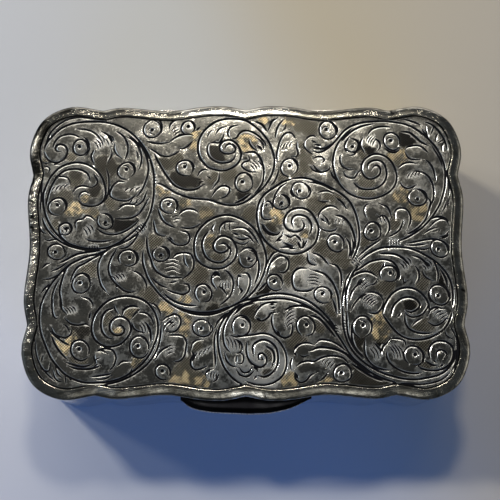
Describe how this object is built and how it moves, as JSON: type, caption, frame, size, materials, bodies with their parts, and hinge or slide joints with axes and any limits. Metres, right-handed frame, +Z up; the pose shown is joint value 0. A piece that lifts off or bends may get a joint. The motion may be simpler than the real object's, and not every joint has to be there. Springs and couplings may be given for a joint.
{
  "type": "engraved silver table box",
  "caption": "Low cartouche-shaped silver box with an engraved hinged lid, a plain rim, a bezel and a thumbpiece at the front.",
  "frame": {"origin": "centre of the flat face that the box rests on, in the middle of the rim's outline", "axes": "+X along the width, to the right seen from the front; +Y from the thumbpiece at the front to the hinge at the back; +Z up, out of the engraved lid"},
  "size_m": [0.084, 0.0607, 0.0225],
  "materials": {
    "engraved_silver": "tarnished silver, engraved and blackened in the cuts",
    "rim_silver": "worn silver with a grey tarnish",
    "polished_silver": "polished silver",
    "inner_silver": "silver with a worn pale gilt wash",
    "hinge_silver": "worn silver"
  },
  "bodies": {
    "box": {"floor_plate": "inner_silver", "body_wall": "polished_silver", "bezel_band": "inner_silver", "body_hinge_bearer": "hinge_silver", "body_knuckle_1": "hinge_silver", "body_knuckle_2": "hinge_silver", "body_knuckle_3": "hinge_silver", "body_knuckle_4": "hinge_silver", "body_knuckle_5": "hinge_silver", "hinge_pin": "hinge_silver"},
    "lid": {"lid_panel": "engraved_silver", "lid_rim": "rim_silver", "lid_wall": "polished_silver", "thumbpiece": "polished_silver", "lid_hinge_bearer": "hinge_silver", "lid_knuckle_1": "hinge_silver", "lid_knuckle_2": "hinge_silver", "lid_knuckle_3": "hinge_silver", "lid_knuckle_4": "hinge_silver"}
  },
  "joints": [
    {"name": "lid_hinge", "type": "hinge", "parent": "box", "child": "lid", "pos_m": [0, 0.02845, 0.016], "axis": [-1, 0, 0], "range_deg": [0, 97]}
  ]
}
